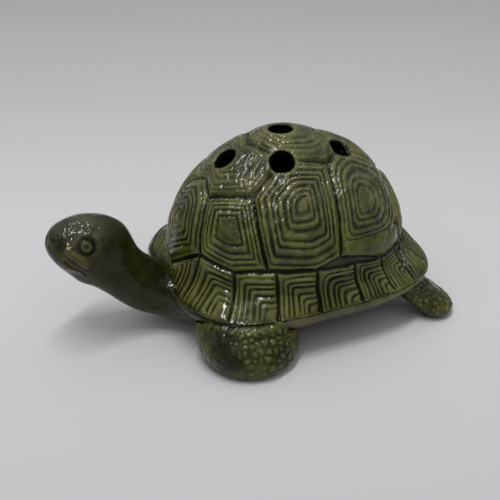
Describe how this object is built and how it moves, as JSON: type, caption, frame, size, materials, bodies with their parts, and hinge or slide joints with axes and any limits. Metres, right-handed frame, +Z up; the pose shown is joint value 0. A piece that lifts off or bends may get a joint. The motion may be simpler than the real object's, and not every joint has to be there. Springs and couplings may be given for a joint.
{
  "type": "turtle figurine",
  "caption": "Hollow glazed ceramic turtle with a carved domed shell, stem holes in the shell, raised head and four stout legs.",
  "frame": {"origin": "middle of the bounding box's bottom, on the surface that the feet stand on", "axes": "head towards -Y, the turtle's left side towards +X, +Z up"},
  "size_m": [0.1236, 0.1824, 0.0874],
  "materials": {
    "shell_glaze": "glossy dark green glaze that pools in carved grooves and thins to olive on the ridges",
    "body_glaze": "smooth glossy dark green glaze",
    "limb_glaze": "glossy dark green glaze over rounded scales"
  },
  "bodies": {
    "root": {"carapace": "shell_glaze", "plastron": "body_glaze", "head_and_neck": "body_glaze", "front_left_leg": "limb_glaze", "front_right_leg": "limb_glaze", "hind_left_leg": "limb_glaze", "hind_right_leg": "limb_glaze", "tail": "limb_glaze"}
  },
  "joints": []
}
